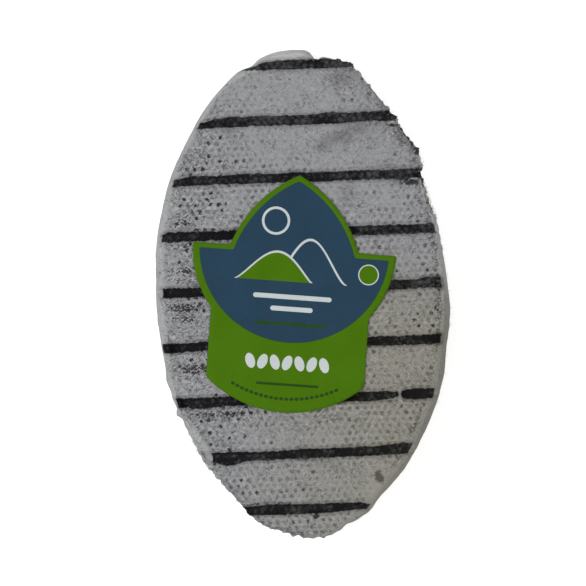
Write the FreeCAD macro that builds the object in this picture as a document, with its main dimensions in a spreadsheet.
"""Ash-coated goat cheese: an oval cheese pressed by a ripening rack, with a paper label on its face.

The cheese is one piece. Its flank is lofted through level rings that follow a barrel profile, and each
ring is an oval with the slow swells of soft paste. Its face is pressed by the round bars of a rack: each
bar leaves a groove with rolled lips, and the paste pillows up between one bar and the next, so the
grooves run out over the shoulder by themselves. The cheese was turned on the rack, and its foot carries
the same bars, less deep, between flat lands. The label is a die-cut sheet that lies on the pillows.

Frame: millimetres, +Z up out of the labelled face, +Y along the oval, bars along X, origin at the middle
of the foot.
"""

import FreeCAD, Part
import math
import os

import Sketcher
from FreeCAD import Placement, Rotation, Vector

# Every size that can be set by itself, in mm and degrees. Angles run from +X towards +Y.
SIZES = [
    ("body_length", 154.6, "oval's long axis at the belly"),
    ("body_width", 93.0, "oval's short axis at the belly"),
    ("body_height", 26.0, "foot to the top of the pillows"),
    ("flank_power", 2.6, "barrel profile: 2 is round, more is squarer"),
    ("foot_inset", 3.2, "how far the foot's rim stands in from the belly"),
    ("face_inset", 2.4, "how far the face's rim stands in, on average"),
    ("face_inset_swing", 1.1, "how much that varies round the oval"),
    ("slack_angle", 160.0, "where the face stands in the most"),
    ("spill_inset", 2.2, "further inset where the paste ran past the last bar"),
    ("spill_angle", 94.0, "middle of that stretch"),
    ("spill_spread", 15.0, "its width, as an angle"),
    ("swell_four", 0.56, "height of the oval's four lobes"),
    ("swell_four_angle", 80.0, "where one of them is"),
    ("swell_five", 0.37, "height of its five lobes"),
    ("swell_five_angle", 54.0, "where one of them is"),
    ("swell_six", 0.29, "height of its six lobes"),
    ("swell_six_angle", 34.0, "where one of them is"),
    ("bar_pitch", 17.65, "one bar of the rack to the next"),
    ("bar_centre", 2.2, "where the middle bar crosses the oval's long axis"),
    ("bar_radius", 1.7, "half a bar's thickness"),
    ("bar_depth", 1.7, "bar's lowest line below the top of the pillows"),
    ("foot_depth", 0.9, "how deep the bars stand in the foot"),
    ("lip_radius", 0.9, "rolled edge beside a bar"),
    ("pillow_radius", 40.0, "curve of the paste between two bars"),
    ("trim", 0.2, "paste above the pillows that the press takes off"),
    ("paper_thickness", 0.2, "label with its glue"),
    ("label_east", -1.9, "middle of the label's wing line, across the oval"),
    ("label_north", 14.3, "and along it"),
    ("label_turn", 6.6, "clockwise turn of the label"),
    ("wing_span", 64.6, "tip to tip"),
    ("arch_span", 40.8, "foot of the pointed arch"),
    ("arch_rise", 23.4, "wing line to the arch's point"),
    ("arch_radius", 40.4, "each side of the pointed arch"),
    ("panel_width", 50.2, "panel below the wings"),
    ("panel_drop", 42.4, "wing line to the panel's lower corners"),
    ("panel_radius", 37.4, "panel's rounded bottom"),
    ("corner_radius", 1.5, "panel's lower corners"),
    ("tip_radius", 0.5, "wing tips and the arch's point"),
]

RINGS = 9  # rings from the foot's rim to the face's rim; the middle one is the belly
RING_POINTS = 48  # points that each ring is drawn through
CLEAR = 3.0  # how far a cutting sketch stands clear of the solid
TOUCH = 1e-6  # points nearer than this are one
BARS_EACH_WAY = "ceil(sizes.body_length / 2 / sizes.bar_pitch)"  # bars each side of the middle one
UP = Vector(0, 0, 1)

# How a sketch numbers what it holds.
START, END, CENTRE = 1, 2, 3
AXIS_ACROSS, AXIS_UPRIGHT = -1, -2
ORIGIN = (AXIS_ACROSS, START)


def make_sheet(doc):
    """The driving sizes, one aliased cell each."""
    sheet = doc.addObject("Spreadsheet::Sheet", "sizes")
    for row, (alias, value, note) in enumerate(SIZES, start=1):
        sheet.set(f"A{row}", alias)
        sheet.set(f"B{row}", str(value))
        sheet.set(f"C{row}", note)
        sheet.setAlias(f"B{row}", alias)
    doc.recompute()
    return sheet


def origin_feature(body, role):
    """One of a body's own origin planes or axes."""
    return next(f for f in body.Origin.OriginFeatures if f.Role == role)


def mirrored(point):
    """The same point on the left of a sketch's upright axis."""
    return Vector(-point.x, point.y, 0)


def new_sketch(body, name, role):
    """An empty sketch on one of the body's origin planes."""
    sketch = body.newObject("Sketcher::SketchObject", name)
    sketch.AttachmentSupport = [(origin_feature(body, role), "")]
    sketch.MapMode = "FlatFace"
    return sketch


def arc(centre, radius, first, last):
    """Arc of a circle from one point to another, anticlockwise."""
    start, end = (math.atan2(p.y - centre.y, p.x - centre.x) for p in (first, last))
    if end < start:
        end += 2 * math.pi
    return Part.ArcOfCircle(Part.Circle(centre, UP, radius), start, end)


def hold(sketch, name, formula, kind, *where):
    """A named dimension of a sketch, kept equal to a formula on the sheet."""
    value = float(sketch.evalExpression(formula))
    index = sketch.addConstraint(Sketcher.Constraint(kind, *where, value))
    sketch.renameConstraint(index, name)
    sketch.setExpression(f"Constraints.{name}", formula)


def tie(sketch, kind, *groups):
    """Adds one constraint of a kind for each group of places."""
    for group in groups:
        sketch.addConstraint(Sketcher.Constraint(kind, *group))


# ---- the cheese's flank: level rings on a barrel profile


def swell(sheet, angle):
    """How far the real oval stands out from an ellipse."""
    lobes = {"four": 4, "five": 5, "six": 6}
    return sum(
        sheet.get(f"swell_{name}")
        * math.cos(count * (angle - math.radians(sheet.get(f"swell_{name}_angle"))))
        for name, count in lobes.items()
    )


def face_inset(sheet, angle):
    """How far the face's rim stands in: slack on two sides, and more where the paste spilled."""
    slack = math.cos(2 * (angle - math.radians(sheet.slack_angle)))
    away = (math.degrees(angle) - sheet.spill_angle) / sheet.spill_spread
    return sheet.face_inset + sheet.face_inset_swing * slack + sheet.spill_inset * math.exp(-away * away)


def barrel(sheet, ring):
    """A ring's share of the height, and of the inset that its rim has."""
    climb = math.pi * (ring / (RINGS - 1) - 0.5)
    power = 2 / sheet.flank_power
    rise = math.copysign(abs(math.sin(climb)) ** power, climb)
    return (1 + rise) / 2, 1 - abs(math.cos(climb)) ** power


def ring_curve(sheet, ring, middle):
    """The closed curve of one ring, about a middle point."""
    across, along = sheet.body_width / 2, sheet.body_length / 2
    share = barrel(sheet, ring)[1]
    points = []
    for step in range(RING_POINTS):
        angle = 2 * math.pi * step / RING_POINTS
        inset = face_inset(sheet, angle) if ring > RINGS // 2 else sheet.foot_inset
        outward = Vector(along * math.cos(angle), across * math.sin(angle), 0).normalize()
        oval = Vector(across * math.cos(angle), along * math.sin(angle), 0)
        points.append(oval + outward * (swell(sheet, angle) - inset * share) - middle)
    curve = Part.BSplineCurve()
    curve.interpolate(points, PeriodicFlag=True)
    return curve


def loft_flank(body, sheet):
    """The cheese as it left its mould, a little taller than the press will leave it."""
    belly = ring_curve(sheet, RINGS // 2, Vector())
    middle = belly.toShape().optimalBoundingBox().Center
    sketches = []
    for ring in range(RINGS):
        sketch = new_sketch(body, f"ring_{ring}", "XY_Plane")
        height_share = barrel(sheet, ring)[0]
        sketch.setExpression(
            "AttachmentOffset.Base.z", f"(sizes.body_height + sizes.trim) * {height_share:.9f}"
        )
        sketch.addGeometry(ring_curve(sheet, ring, middle))
        sketches.append(sketch)
    loft = body.newObject("PartDesign::AdditiveLoft", "paste")
    loft.Profile = sketches[0]
    loft.Sections = sketches[1:]
    return loft


# ---- the rack's marks


def lip_centre(bar_centre, bar_reach, land_centre, land_reach):
    """Where a lip's circle sits between a bar and a pillow, given its distance from each centre."""
    gap = land_centre - bar_centre
    along = (gap.Length**2 + bar_reach**2 - land_reach**2) / (2 * gap.Length)
    aside = math.sqrt(bar_reach**2 - along**2)
    direction = gap / gap.Length
    return bar_centre + direction * along + UP.cross(direction) * aside


def draw_face_press(sketch, sheet):
    """What one bar and the paste pushed up beside it leave open, over one pitch of the face.

    The sketch's origin is over the bar, at the top of the pillows. From left to right the lower edge is
    half a pillow, a rolled lip, the bar, a lip and half a pillow, each tangent to the next.
    """
    bar, lip, pillow = sheet.bar_radius, sheet.lip_radius, sheet.pillow_radius
    bar_centre = Vector(0, bar - sheet.bar_depth, 0)
    pillow_centre = Vector(sheet.bar_pitch / 2, -pillow, 0)
    middle = lip_centre(bar_centre, bar + lip, pillow_centre, pillow - lip)
    on_bar = bar_centre + (middle - bar_centre) * (bar / (bar + lip))
    on_pillow = pillow_centre + (middle - pillow_centre) * (pillow / (pillow - lip))
    peak = Vector(sheet.bar_pitch / 2, 0, 0)
    corner = Vector(sheet.bar_pitch / 2, CLEAR, 0)
    sketch.addGeometry(
        [
            arc(mirrored(pillow_centre), pillow, mirrored(on_pillow), mirrored(peak)),
            arc(mirrored(middle), lip, mirrored(on_bar), mirrored(on_pillow)),
            arc(bar_centre, bar, mirrored(on_bar), on_bar),
            arc(middle, lip, on_pillow, on_bar),
            arc(pillow_centre, pillow, peak, on_pillow),
            Part.LineSegment(peak, corner),
            Part.LineSegment(corner, mirrored(corner)),
            Part.LineSegment(mirrored(corner), mirrored(peak)),
        ]
    )
    left_pillow, left_lip, bar, right_lip, right_pillow, right_wall, roof, left_wall = range(8)
    tie(
        sketch,
        "Tangent",
        (left_pillow, START, left_lip, END),
        (left_lip, START, bar, START),
        (bar, END, right_lip, END),
        (right_lip, START, right_pillow, END),
    )
    tie(
        sketch,
        "Coincident",
        (right_pillow, START, right_wall, START),
        (right_wall, END, roof, START),
        (roof, END, left_wall, START),
        (left_wall, END, left_pillow, END),
    )
    tie(sketch, "Equal", (left_lip, right_lip), (left_pillow, right_pillow))
    tie(sketch, "Horizontal", (roof,))
    tie(
        sketch,
        "Vertical",
        (right_wall,),
        (left_wall,),
        (right_pillow, CENTRE, right_pillow, START),
        (left_pillow, CENTRE, left_pillow, END),
    )
    tie(sketch, "PointOnObject", (bar, CENTRE, AXIS_UPRIGHT), (right_pillow, START, AXIS_ACROSS))
    tie(sketch, "Symmetric", (left_wall, END, right_wall, START, AXIS_UPRIGHT))
    hold(sketch, "pitch", "sizes.bar_pitch", "DistanceX", left_wall, END, right_wall, START)
    hold(sketch, "bar_radius", "sizes.bar_radius", "Radius", bar)
    hold(sketch, "lip_radius", "sizes.lip_radius", "Radius", right_lip)
    hold(sketch, "pillow_radius", "sizes.pillow_radius", "Radius", right_pillow)
    hold(sketch, "headroom", str(CLEAR), "DistanceY", *ORIGIN, roof, START)
    drop = f"{CLEAR} + sizes.bar_depth - sizes.bar_radius"
    hold(sketch, "press_depth", drop, "DistanceY", bar, CENTRE, roof, START)


def draw_foot_press(sketch, sheet):
    """What one bar leaves open in the foot: the bar with a rolled lip each side, between flat lands.

    The sketch's origin is under the bar, at the level of the lands.
    """
    bar, lip = sheet.bar_radius, sheet.lip_radius
    bar_centre = Vector(0, sheet.foot_depth - bar, 0)
    reach = math.sqrt((bar + lip) ** 2 - (lip - bar_centre.y) ** 2)
    middle = Vector(reach, lip, 0)
    on_bar = bar_centre + (middle - bar_centre) * (bar / (bar + lip))
    on_land = Vector(reach, 0, 0)
    corner = Vector(reach, -CLEAR, 0)
    sketch.addGeometry(
        [
            arc(middle, lip, on_bar, on_land),
            arc(bar_centre, bar, on_bar, mirrored(on_bar)),
            arc(mirrored(middle), lip, mirrored(on_land), mirrored(on_bar)),
            Part.LineSegment(mirrored(on_land), mirrored(corner)),
            Part.LineSegment(mirrored(corner), corner),
            Part.LineSegment(corner, on_land),
        ]
    )
    right_lip, bar, left_lip, left_wall, floor, right_wall = range(6)
    tie(sketch, "Tangent", (right_lip, START, bar, START), (bar, END, left_lip, END))
    tie(
        sketch,
        "Coincident",
        (left_lip, START, left_wall, START),
        (left_wall, END, floor, START),
        (floor, END, right_wall, START),
        (right_wall, END, right_lip, END),
    )
    tie(sketch, "Equal", (left_lip, right_lip))
    tie(sketch, "Horizontal", (floor,))
    tie(
        sketch,
        "Vertical",
        (right_wall,),
        (left_wall,),
        (right_lip, CENTRE, right_lip, END),
        (left_lip, CENTRE, left_lip, START),
    )
    tie(
        sketch,
        "PointOnObject",
        (bar, CENTRE, AXIS_UPRIGHT),
        (right_lip, END, AXIS_ACROSS),
        (left_lip, START, AXIS_ACROSS),
    )
    hold(sketch, "bar_radius", "sizes.bar_radius", "Radius", bar)
    hold(sketch, "lip_radius", "sizes.lip_radius", "Radius", right_lip)
    hold(sketch, "headroom", str(CLEAR), "DistanceY", floor, END, *ORIGIN)
    rise = f"{CLEAR} + sizes.foot_depth - sizes.bar_radius"
    hold(sketch, "press_depth", rise, "DistanceY", floor, END, bar, CENTRE)


def press(body, name, sketch, level):
    """Cuts a sketch of one bar right through the cheese, at the first bar of the rack."""
    sketch.setExpression("AttachmentOffset.Base.x", f"sizes.bar_centre - {BARS_EACH_WAY} * sizes.bar_pitch")
    sketch.setExpression("AttachmentOffset.Base.y", level)
    pocket = body.newObject("PartDesign::Pocket", name)
    pocket.Profile = sketch
    pocket.Type = "ThroughAll"
    pocket.SideType = "Symmetric"
    return pocket


def repeat_bars(body, pockets):
    """The other bars of the rack, past both ends of the cheese."""
    pattern = body.newObject("PartDesign::LinearPattern", "rack")
    pattern.Originals = pockets
    pattern.Direction = (origin_feature(body, "Y_Axis"), [""])
    pattern.Mode = "Spacing"
    pattern.setExpression("Offset", "sizes.bar_pitch")
    pattern.setExpression("Occurrences", f"2 * {BARS_EACH_WAY} + 1")
    pattern.Refine = True
    body.Tip = pattern
    return pattern


def make_cheese(doc, sheet):
    """The cheese: lofted, then pressed by the rack from above and below."""
    body = doc.addObject("PartDesign::Body", "cheese")
    body.Label = "cheese"
    flank = loft_flank(body, sheet)
    doc.recompute()
    face = new_sketch(body, "face_press", "YZ_Plane")
    draw_face_press(face, sheet)
    face_pocket = press(body, "face_groove", face, "sizes.body_height")
    foot = new_sketch(body, "foot_press", "YZ_Plane")
    draw_foot_press(foot, sheet)
    foot_pocket = press(body, "foot_groove", foot, "0")
    doc.recompute()
    pattern = repeat_bars(body, [face_pocket, foot_pocket])
    doc.recompute()
    print(f"cheese: lofted {flank.Shape.Volume:.0f} mm3, pressed {pattern.Shape.Volume:.0f} mm3")
    if pattern.Shape.Volume > 0.99 * flank.Shape.Volume:
        raise RuntimeError("the rack's bars did not press the cheese")
    return body


# ---- the label


def draw_label(sketch, sheet):
    """The die's outline: a pointed arch over two wings, and a round-bottomed panel below them.

    The sketch's origin is in the middle of the wing line.
    """
    wing = Vector(sheet.wing_span / 2, 0, 0)
    notch = Vector(sheet.arch_span / 2, 0, 0)
    point = Vector(0, sheet.arch_rise, 0)
    side = sheet.panel_width / 2
    waist = Vector(side, -math.sqrt(wing.x**2 - side**2), 0)
    corner = Vector(side, -sheet.panel_drop, 0)
    bottom_centre = Vector(0, math.sqrt(sheet.panel_radius**2 - side**2) - sheet.panel_drop, 0)
    chord = point - notch
    back = UP.cross(chord) / chord.Length
    arch_centre = (notch + point) / 2 + back * math.sqrt(sheet.arch_radius**2 - (chord.Length / 2) ** 2)
    sketch.addGeometry(
        [
            arc(arch_centre, sheet.arch_radius, notch, point),
            arc(mirrored(arch_centre), sheet.arch_radius, point, mirrored(notch)),
            Part.LineSegment(mirrored(notch), mirrored(wing)),
            arc(Vector(), wing.x, mirrored(wing), mirrored(waist)),
            Part.LineSegment(mirrored(waist), mirrored(corner)),
            arc(bottom_centre, sheet.panel_radius, mirrored(corner), corner),
            Part.LineSegment(corner, waist),
            arc(Vector(), wing.x, waist, wing),
            Part.LineSegment(wing, notch),
        ]
    )
    pieces = range(9)
    right_arch, left_arch, left_wing, left_curve, left_side = pieces[:5]
    bottom, right_side, right_curve, right_wing = pieces[5:]
    tie(sketch, "Coincident", *((piece, END, (piece + 1) % len(pieces), START) for piece in pieces))
    tie(sketch, "Coincident", (left_curve, CENTRE, *ORIGIN), (right_curve, CENTRE, *ORIGIN))
    tie(sketch, "Equal", (left_arch, right_arch))
    tie(sketch, "Vertical", (left_side,), (right_side,))
    tie(
        sketch,
        "PointOnObject",
        (right_wing, START, AXIS_ACROSS),
        (right_wing, END, AXIS_ACROSS),
        (left_arch, START, AXIS_UPRIGHT),
    )
    tie(
        sketch,
        "Symmetric",
        (left_wing, START, right_wing, END, AXIS_UPRIGHT),
        (left_wing, END, right_wing, START, AXIS_UPRIGHT),
        (left_side, END, right_side, START, AXIS_UPRIGHT),
    )
    hold(sketch, "wing_span", "sizes.wing_span", "DistanceX", left_wing, END, right_wing, START)
    hold(sketch, "arch_span", "sizes.arch_span", "DistanceX", left_wing, START, right_wing, END)
    hold(sketch, "arch_rise", "sizes.arch_rise", "DistanceY", *ORIGIN, left_arch, START)
    hold(sketch, "arch_radius", "sizes.arch_radius", "Radius", right_arch)
    hold(sketch, "panel_width", "sizes.panel_width", "DistanceX", left_side, END, right_side, START)
    hold(sketch, "panel_drop", "sizes.panel_drop", "DistanceY", right_side, START, *ORIGIN)
    hold(sketch, "panel_radius", "sizes.panel_radius", "Radius", bottom)
    return [corner, mirrored(corner)], [point, wing, mirrored(wing)]


def stands_at(edge, places):
    """Whether an edge of a level sheet is upright and stands at one of the given places."""
    low, high = (Vector(vertex.X, vertex.Y, 0) for vertex in (edge.Vertexes[0], edge.Vertexes[-1]))
    return low.isEqual(high, TOUCH) and any(low.isEqual(place, TOUCH) for place in places)


def round_corners(body, base, name, places, radius):
    """Rounds the upright edges of a sheet that stand at the given places."""
    numbered = enumerate(base.Shape.Edges, start=1)
    edges = [f"Edge{number}" for number, edge in numbered if stands_at(edge, places)]
    fillet = body.newObject("PartDesign::Fillet", name)
    fillet.Base = (base, edges)
    fillet.setExpression("Radius", radius)
    return fillet


def make_label(doc, sheet):
    """The paper label, level on the pillows and turned a little against the oval."""
    body = doc.addObject("PartDesign::Body", "label")
    body.Label = "label"
    outline = new_sketch(body, "die_outline", "XY_Plane")
    corners, tips = draw_label(outline, sheet)
    paper = body.newObject("PartDesign::Pad", "paper")
    paper.Profile = outline
    paper.setExpression("Length", "sizes.paper_thickness")
    doc.recompute()
    cornered = round_corners(body, paper, "panel_corners", corners, "sizes.corner_radius")
    doc.recompute()
    round_corners(body, cornered, "paper_tips", tips, "sizes.tip_radius")
    body.Placement = Placement(Vector(), Rotation(-UP, sheet.label_turn))
    body.setExpression("Placement.Base.x", "sizes.label_east")
    body.setExpression("Placement.Base.y", "sizes.label_north")
    body.setExpression("Placement.Base.z", "sizes.body_height")
    body.setExpression("Placement.Rotation.Angle", "sizes.label_turn")
    doc.recompute()
    return body


def check(doc, bodies):
    """Stops before anything is written if a feature failed or a piece isn't one sound solid."""
    for thing in doc.Objects:
        if {"Invalid", "Error"} & set(thing.State):
            raise RuntimeError(f"{thing.Name} is {thing.State}")
        if thing.isDerivedFrom("Sketcher::SketchObject") and thing.solve() != 0:
            raise RuntimeError(f"{thing.Name} doesn't solve")
    for body in bodies:
        shape = body.Shape
        if shape.isNull() or not shape.isValid() or len(shape.Solids) != 1:
            raise RuntimeError(f"{body.Label} isn't one sound solid")


def main():
    """Builds the document, checks it and writes each piece's solid."""
    doc = FreeCAD.newDocument("ash_coated_cheese")
    sheet = make_sheet(doc)
    bodies = [make_cheese(doc, sheet), make_label(doc, sheet)]
    check(doc, bodies)
    os.makedirs("parts", exist_ok=True)
    for body in bodies:
        body.Shape.exportStep(f"parts/{body.Label}.step")
        box = body.Shape.BoundBox
        print(
            f"{body.Label}: x {box.XMin:.2f}..{box.XMax:.2f}, y {box.YMin:.2f}..{box.YMax:.2f},"
            f" z {box.ZMin:.2f}..{box.ZMax:.2f}, {body.Shape.Volume:.0f} mm3"
        )


main()
